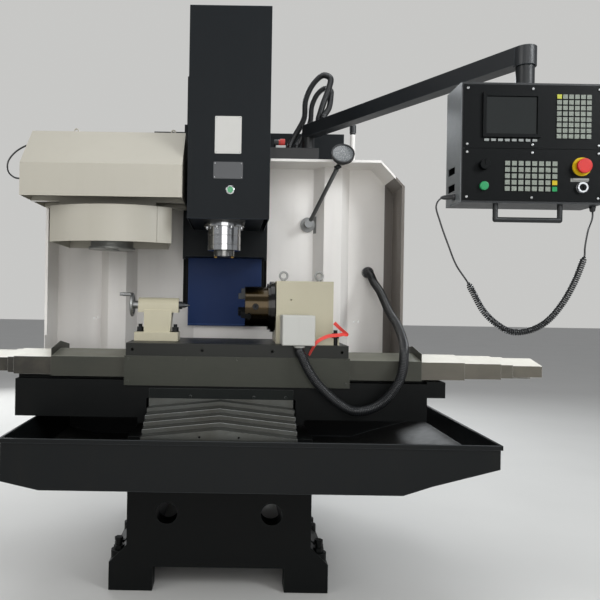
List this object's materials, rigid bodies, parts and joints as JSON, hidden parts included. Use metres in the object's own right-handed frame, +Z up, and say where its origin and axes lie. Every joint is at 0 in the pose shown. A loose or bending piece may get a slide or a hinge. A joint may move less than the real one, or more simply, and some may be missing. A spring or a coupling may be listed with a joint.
{
  "type": "cnc machining center",
  "caption": "Vertical machining center with moving table and saddle under telescopic covers, sliding head, umbrella tool magazine, rotary table, tailstock and swing pendant.",
  "frame": {"origin": "on the floor under the spindle axis, centre of the four foundation bolts nearest the working zone", "axes": "+X to the operator's right along the table, +Y to the back, +Z up along the spindle axis"},
  "size_m": [2.576, 1.993, 2.543],
  "materials": {
    "cast_dark": "painted, satin",
    "way_steel": "ground",
    "cover_steel": "brushed",
    "cover_white": "satin",
    "guard_white": "satin",
    "table_iron": "ground",
    "cream_paint": "satin",
    "box_grey": "satin",
    "navy_paint": "textured",
    "blue_cover": "satin",
    "black_metal": "satin",
    "chuck_brass": "oiled",
    "spindle_chrome": "polished",
    "panel_plastic": "matte",
    "red_plastic": "gloss",
    "green_plastic": "gloss",
    "black_rubber": "matte"
  },
  "bodies": {
    "base": {"machine_base": "cast_dark", "levelling_screws": "way_steel", "chip_tray": "cast_dark", "column": "cast_dark", "axis_motors": "black_metal", "splash_guard": "guard_white", "y_cover_fixed": "cover_steel", "electrical_cabinet": "navy_paint", "magazine_housing": "guard_white", "arm_bracket": "black_metal", "fixed_conduits": "black_rubber"},
    "y_screw": {"y_ball_screw": "way_steel"},
    "z_screw": {"z_ball_screw": "way_steel"},
    "cabinet_door": {"cabinet_door": "navy_paint"},
    "drum_carriage": {"drum_carriage": "guard_white"},
    "tool_drum": {"tool_drum": "way_steel"},
    "saddle": {"saddle": "cast_dark", "x_servo_motor": "black_metal", "x_cover_ends": "cover_white", "y_cover_1": "cover_steel"},
    "x_screw": {"x_ball_screw": "way_steel"},
    "y_cover_2": {"y_cover_2": "cover_steel"},
    "y_cover_3": {"y_cover_3": "cover_steel"},
    "y_cover_4": {"y_cover_4": "cover_steel"},
    "x_cover_right_1": {"x_cover_right_1": "cover_white"},
    "x_cover_right_2": {"x_cover_right_2": "cover_white"},
    "x_cover_right_3": {"x_cover_right_3": "cover_white"},
    "x_cover_left_1": {"x_cover_left_1": "cover_white"},
    "x_cover_left_2": {"x_cover_left_2": "cover_white"},
    "x_cover_left_3": {"x_cover_left_3": "cover_white"},
    "table": {"table": "table_iron", "table_apron": "cover_steel", "x_cover_table": "cover_steel", "tailstock_body": "cream_paint", "rotary_housing": "cream_paint", "rotary_motor_box": "box_grey", "clamp_fittings": "black_metal", "rotary_conduit": "black_rubber"},
    "quill": {"tailstock_quill": "way_steel"},
    "handwheel": {"tailstock_handwheel": "way_steel"},
    "chuck": {"chuck": "chuck_brass"},
    "jaw_1": {"chuck_jaw_1": "way_steel"},
    "jaw_2": {"chuck_jaw_2": "way_steel"},
    "jaw_3": {"chuck_jaw_3": "way_steel"},
    "pinion": {"chuck_pinion": "way_steel"},
    "head": {"head_casting": "navy_paint", "head_cover": "navy_paint", "spindle_cartridge": "spindle_chrome", "z_way_cover": "blue_cover"},
    "spindle": {"spindle_nose": "spindle_chrome"},
    "release_button": {"tool_release_button": "green_plastic"},
    "arm": {"pendant_arm": "black_metal"},
    "pendant": {"pendant_box": "box_grey", "pendant_panel": "panel_plastic", "coiled_cable": "black_rubber"},
    "estop": {"estop_button": "red_plastic"},
    "start": {"start_button": "green_plastic"},
    "knob": {"override_knob": "panel_plastic"},
    "lamp_arm": {"lamp_arm": "way_steel"},
    "lamp_head": {"lamp_head": "black_metal"}
  },
  "joints": [
    {"name": "saddle_slide", "type": "slide", "parent": "base", "child": "saddle", "axis": [0, 1, 0], "range_m": [-0.22, 0.1]},
    {"name": "y_cover_2_slide", "type": "slide", "parent": "base", "child": "y_cover_2", "axis": [0, 1, 0], "range_m": [-0.165, 0.075]},
    {"name": "y_cover_3_slide", "type": "slide", "parent": "base", "child": "y_cover_3", "axis": [0, 1, 0], "range_m": [-0.11, 0.05]},
    {"name": "y_cover_4_slide", "type": "slide", "parent": "base", "child": "y_cover_4", "axis": [0, 1, 0], "range_m": [-0.055, 0.025]},
    {"name": "y_screw_turn", "type": "hinge", "parent": "base", "child": "y_screw", "pos_m": [0, 0, 0.575], "axis": [0, 1, 0], "range_deg": [-8000, 8000]},
    {"name": "table_slide", "type": "slide", "parent": "saddle", "child": "table", "axis": [1, 0, 0], "range_m": [-0.3, 0.2], "deforming": ["rotary_conduit"]},
    {"name": "x_screw_turn", "type": "hinge", "parent": "saddle", "child": "x_screw", "pos_m": [0, -0.042, 0.758], "axis": [1, 0, 0], "range_deg": [-11000, 11000]},
    {"name": "x_cover_right_1_slide", "type": "slide", "parent": "saddle", "child": "x_cover_right_1", "axis": [1, 0, 0], "range_m": [-0.225, 0.15]},
    {"name": "x_cover_right_2_slide", "type": "slide", "parent": "saddle", "child": "x_cover_right_2", "axis": [1, 0, 0], "range_m": [-0.15, 0.1]},
    {"name": "x_cover_right_3_slide", "type": "slide", "parent": "saddle", "child": "x_cover_right_3", "axis": [1, 0, 0], "range_m": [-0.09, 0.06]},
    {"name": "x_cover_left_1_slide", "type": "slide", "parent": "saddle", "child": "x_cover_left_1", "axis": [1, 0, 0], "range_m": [-0.216, 0.144]},
    {"name": "x_cover_left_2_slide", "type": "slide", "parent": "saddle", "child": "x_cover_left_2", "axis": [1, 0, 0], "range_m": [-0.198, 0.132]},
    {"name": "x_cover_left_3_slide", "type": "slide", "parent": "saddle", "child": "x_cover_left_3", "axis": [1, 0, 0], "range_m": [-0.108, 0.072]},
    {"name": "head_slide", "type": "slide", "parent": "base", "child": "head", "axis": [0, 0, -1], "range_m": [-0.25, 0.15]},
    {"name": "z_screw_turn", "type": "hinge", "parent": "base", "child": "z_screw", "pos_m": [0, 0.515, 1.6], "axis": [0, 0, 1], "range_deg": [-9500, 9500]},
    {"name": "spindle_turn", "type": "hinge", "parent": "head", "child": "spindle", "pos_m": [0, 0, 1.4], "axis": [0, 0, 1], "continuous": true},
    {"name": "tool_release_press", "type": "slide", "parent": "head", "child": "release_button", "axis": [0, 1, 0], "range_m": [0, 0.004], "stiffness_N_per_m": 800},
    {"name": "drum_carriage_slide", "type": "slide", "parent": "base", "child": "drum_carriage", "axis": [1, 0, 0], "range_m": [0, 0.045]},
    {"name": "drum_turn", "type": "hinge", "parent": "drum_carriage", "child": "tool_drum", "pos_m": [-0.49, 0.07, 1.45], "axis": [0, 0, 1], "continuous": true},
    {"name": "cabinet_door_hinge", "type": "hinge", "parent": "base", "child": "cabinet_door", "pos_m": [-0.428, 1.29, 1.3], "axis": [0, 0, 1], "range_deg": [0, 110]},
    {"name": "quill_slide", "type": "slide", "parent": "table", "child": "quill", "axis": [1, 0, 0], "range_m": [-0.024, 0.024]},
    {"name": "handwheel_turn", "type": "hinge", "parent": "table", "child": "handwheel", "pos_m": [-0.386, 0, 1.112], "axis": [1, 0, 0], "range_deg": [-2160, 2160]},
    {"name": "chuck_turn", "type": "hinge", "parent": "table", "child": "chuck", "pos_m": [0.2, 0, 1.112], "axis": [1, 0, 0], "continuous": true},
    {"name": "jaw_1_slide", "type": "slide", "parent": "chuck", "child": "jaw_1", "axis": [0, 0, 1], "range_m": [-0.012, 0.006]},
    {"name": "jaw_2_slide", "type": "slide", "parent": "chuck", "child": "jaw_2", "axis": [0, -0.866, -0.5], "range_m": [-0.012, 0.006]},
    {"name": "jaw_3_slide", "type": "slide", "parent": "chuck", "child": "jaw_3", "axis": [0, 0.866, -0.5], "range_m": [-0.012, 0.006]},
    {"name": "pinion_turn", "type": "hinge", "parent": "chuck", "child": "pinion", "pos_m": [0.135, -0.06, 1.112], "axis": [0, -1, 0], "range_deg": [-1500, 1500]},
    {"name": "pendant_arm_swing", "type": "hinge", "parent": "base", "child": "arm", "pos_m": [0.4, 0.44, 1.9], "axis": [0, 0, 1], "range_deg": [-28, 45]},
    {"name": "pendant_turn", "type": "hinge", "parent": "arm", "child": "pendant", "pos_m": [1.009, -0.585, 1.9], "axis": [0, 0, 1], "range_deg": [-60, 60]},
    {"name": "estop_press", "type": "slide", "parent": "pendant", "child": "estop", "axis": [0, 1, 0], "range_m": [0, 0.006]},
    {"name": "start_press", "type": "slide", "parent": "pendant", "child": "start", "axis": [0, 1, 0], "range_m": [0, 0.003], "stiffness_N_per_m": 700},
    {"name": "override_turn", "type": "hinge", "parent": "pendant", "child": "knob", "pos_m": [0.849, -0.66, 1.59], "axis": [0, 1, 0], "range_deg": [-135, 135]},
    {"name": "lamp_arm_swing", "type": "hinge", "parent": "base", "child": "lamp_arm", "pos_m": [0.402, 0.365, 1.512], "axis": [0, 1, 0], "range_deg": [-50, 40]},
    {"name": "lamp_head_tilt", "type": "hinge", "parent": "lamp_arm", "child": "lamp_head", "pos_m": [0.508, 0.186, 1.75], "axis": [1, 0, 0], "range_deg": [-25, 30]}
  ],
  "couplings": [
    {"joint": "y_cover_2_slide", "follows": "saddle_slide", "ratio": 0.75},
    {"joint": "y_cover_3_slide", "follows": "saddle_slide", "ratio": 0.5},
    {"joint": "y_cover_4_slide", "follows": "saddle_slide", "ratio": 0.25},
    {"joint": "y_screw_turn", "follows": "saddle_slide", "rad_per_m": 628.32},
    {"joint": "x_screw_turn", "follows": "table_slide", "rad_per_m": 628.32},
    {"joint": "z_screw_turn", "follows": "head_slide", "rad_per_m": 628.32},
    {"joint": "x_cover_right_1_slide", "follows": "table_slide", "ratio": 0.75},
    {"joint": "x_cover_right_2_slide", "follows": "table_slide", "ratio": 0.5},
    {"joint": "x_cover_right_3_slide", "follows": "table_slide", "ratio": 0.3},
    {"joint": "x_cover_left_1_slide", "follows": "table_slide", "ratio": 0.72},
    {"joint": "x_cover_left_2_slide", "follows": "table_slide", "ratio": 0.66},
    {"joint": "x_cover_left_3_slide", "follows": "table_slide", "ratio": 0.36},
    {"joint": "quill_slide", "follows": "handwheel_turn", "m_per_rad": 0.00063662},
    {"joint": "jaw_2_slide", "follows": "jaw_1_slide", "ratio": 1},
    {"joint": "jaw_3_slide", "follows": "jaw_1_slide", "ratio": 1},
    {"joint": "pinion_turn", "follows": "jaw_1_slide", "rad_per_m": 1396.3}
  ]
}
